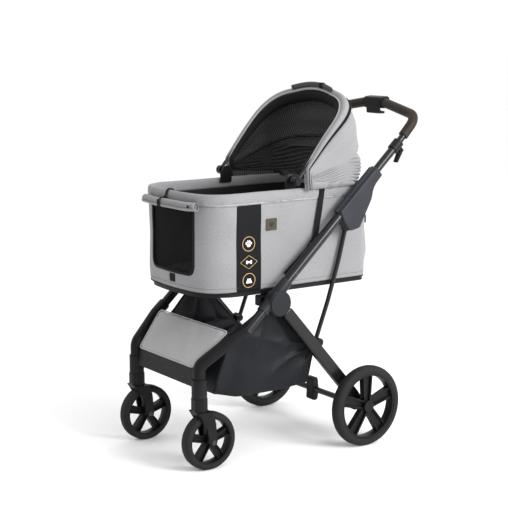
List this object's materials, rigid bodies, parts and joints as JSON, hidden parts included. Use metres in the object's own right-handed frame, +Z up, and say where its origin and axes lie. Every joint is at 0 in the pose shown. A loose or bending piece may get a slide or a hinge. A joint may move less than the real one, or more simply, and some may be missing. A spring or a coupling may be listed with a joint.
{
  "type": "pet stroller",
  "caption": "Folding pet stroller: lift-off open carrier with hinged canopy and front window on a tube frame with swivel front wheels, storage basket and telescoping handle.",
  "frame": {"origin": "on the ground under the middle of the stroller's bounding box", "axes": "+Z up, the front of the stroller towards -Y, +X towards its left side; the YZ plane is its plane of symmetry"},
  "size_m": [0.5416, 0.8384, 1.0593],
  "materials": {
    "tube_black": "satin black paint",
    "slate_plastic": "fine matte texture, dark slate",
    "black_plastic": "fine matte texture, black",
    "tyre_black": "matte foam rubber",
    "leather_brown": "dark brown stitched leather",
    "patch_leather": "taupe stitched patch",
    "grey_fabric": "light grey plain-woven polyester",
    "black_fabric": "black woven polyester",
    "black_mesh": "black open mesh",
    "steel": "dark plated steel"
  },
  "bodies": {
    "front_frame": {"main_tube_left": "tube_black", "main_tube_right": "tube_black", "front_leg_left": "black_plastic", "front_leg_right": "black_plastic", "hub_housing_left": "slate_plastic", "hub_housing_right": "slate_plastic", "hub_pins": "slate_plastic", "front_beam": "black_plastic", "storage_basket": "black_fabric", "basket_panel": "grey_fabric", "carrier_adapters": "black_plastic", "frame_screws": "steel"},
    "rear_frame": {"rear_leg_left": "tube_black", "rear_leg_right": "tube_black", "rear_cross_bar": "tube_black", "rear_axles": "steel", "strut_brackets": "black_plastic"},
    "struts": {"strut_left": "tube_black", "strut_right": "tube_black"},
    "slider": {"upper_tube_left": "tube_black", "upper_tube_right": "tube_black", "slider_housing_left": "slate_plastic", "slider_housing_right": "slate_plastic", "collars": "black_plastic"},
    "handle": {"handlebar": "tube_black", "handle_grip_left": "leather_brown", "handle_grip_right": "leather_brown", "handle_housing": "black_plastic"},
    "fold_lever": {"fold_lever": "black_plastic"},
    "collar_lever_left": {"collar_lever_left": "black_plastic"},
    "collar_lever_right": {"collar_lever_right": "black_plastic"},
    "brake_pedal": {"brake_pedal": "black_plastic"},
    "carrier": {"carrier_base": "black_plastic", "carrier_shell": "grey_fabric", "carrier_rim": "grey_fabric", "window_mesh": "black_mesh", "window_roll": "grey_fabric", "carrier_cushion": "black_fabric", "label_strip": "black_fabric", "leather_patch": "patch_leather", "side_straps": "black_fabric", "rear_pocket": "grey_fabric", "carrier_lugs": "black_plastic", "canopy_pivots": "black_plastic", "canopy_fabric": "grey_fabric"},
    "canopy_hoop": {"canopy_hoop": "tube_black", "canopy_roll": "black_fabric"},
    "canopy_bow": {"canopy_bow": "tube_black"},
    "caster_left": {"caster_fork_left": "black_plastic", "front_axle_left": "steel"},
    "caster_right": {"caster_fork_right": "black_plastic", "front_axle_right": "steel"},
    "front_wheel_left": {"front_rim_left": "black_plastic", "front_tyre_left": "tyre_black"},
    "front_wheel_right": {"front_rim_right": "black_plastic", "front_tyre_right": "tyre_black"},
    "rear_wheel_left": {"rear_rim_left": "black_plastic", "rear_tyre_left": "tyre_black"},
    "rear_wheel_right": {"rear_rim_right": "black_plastic", "rear_tyre_right": "tyre_black"}
  },
  "joints": [
    {"name": "fold", "type": "hinge", "parent": "front_frame", "child": "rear_frame", "pos_m": [0, -0.1384, 0.458], "axis": [-1, 0, 0], "range_deg": [0, 50]},
    {"name": "strut_swing", "type": "hinge", "parent": "rear_frame", "child": "struts", "pos_m": [0, 0.0186, 0.321], "axis": [-1, 0, 0], "range_deg": [-39.6, 0]},
    {"name": "slider_travel", "type": "slide", "parent": "front_frame", "child": "slider", "axis": [0, -0.7373, -0.6756], "range_m": [0, 0.142]},
    {"name": "handle_height", "type": "slide", "parent": "slider", "child": "handle", "axis": [0, 0.7373, 0.6756], "range_m": [0, 0.08]},
    {"name": "fold_lever_squeeze", "type": "hinge", "parent": "handle", "child": "fold_lever", "pos_m": [0, 0.38686, 0.97144], "axis": [1, 0, 0], "range_deg": [0, 8], "stiffness_Nm_per_rad": 0.6},
    {"name": "collar_lever_left_pull", "type": "hinge", "parent": "slider", "child": "collar_lever_left", "pos_m": [0.221, 0.30527, 0.85749], "axis": [1, 0, 0], "range_deg": [0, 15], "stiffness_Nm_per_rad": 0.15},
    {"name": "collar_lever_right_pull", "type": "hinge", "parent": "slider", "child": "collar_lever_right", "pos_m": [-0.221, 0.30527, 0.85749], "axis": [1, 0, 0], "range_deg": [0, 15], "stiffness_Nm_per_rad": 0.15},
    {"name": "brake_press", "type": "hinge", "parent": "rear_frame", "child": "brake_pedal", "pos_m": [-0.028, 0.1816, 0.105], "axis": [1, 0, 0], "range_deg": [-12, 12]},
    {"name": "carrier_lift_off", "type": "slide", "parent": "front_frame", "child": "carrier", "axis": [0, 0, 1], "range_m": [0, 0.25]},
    {"name": "canopy_tilt", "type": "hinge", "parent": "carrier", "child": "canopy_hoop", "pos_m": [0, -0.0504, 0.79], "axis": [1, 0, 0], "range_deg": [-30, 20], "deforming": ["canopy_fabric"]},
    {"name": "canopy_bow_tilt", "type": "hinge", "parent": "carrier", "child": "canopy_bow", "pos_m": [0, -0.0504, 0.79], "axis": [1, 0, 0], "range_deg": [-15.1, 10.1]},
    {"name": "caster_swivel_left", "type": "hinge", "parent": "front_frame", "child": "caster_left", "pos_m": [0.171, -0.3654, 0.209], "axis": [0, 0, 1], "continuous": true},
    {"name": "front_wheel_spin_left", "type": "hinge", "parent": "caster_left", "child": "front_wheel_left", "pos_m": [0.171, -0.3364, 0.0825], "axis": [1, 0, 0], "continuous": true},
    {"name": "rear_wheel_spin_left", "type": "hinge", "parent": "rear_frame", "child": "rear_wheel_left", "pos_m": [0.2534, 0.1616, 0.12], "axis": [1, 0, 0], "continuous": true},
    {"name": "caster_swivel_right", "type": "hinge", "parent": "front_frame", "child": "caster_right", "pos_m": [-0.171, -0.3654, 0.209], "axis": [0, 0, 1], "continuous": true},
    {"name": "front_wheel_spin_right", "type": "hinge", "parent": "caster_right", "child": "front_wheel_right", "pos_m": [-0.171, -0.3364, 0.0825], "axis": [1, 0, 0], "continuous": true},
    {"name": "rear_wheel_spin_right", "type": "hinge", "parent": "rear_frame", "child": "rear_wheel_right", "pos_m": [-0.2534, 0.1616, 0.12], "axis": [1, 0, 0], "continuous": true}
  ],
  "couplings": [
    {"joint": "strut_swing", "follows": "fold", "ratio": -0.791},
    {"joint": "slider_travel", "follows": "fold", "m_per_rad": 0.1622},
    {"joint": "canopy_bow_tilt", "follows": "canopy_tilt", "ratio": 0.5}
  ]
}
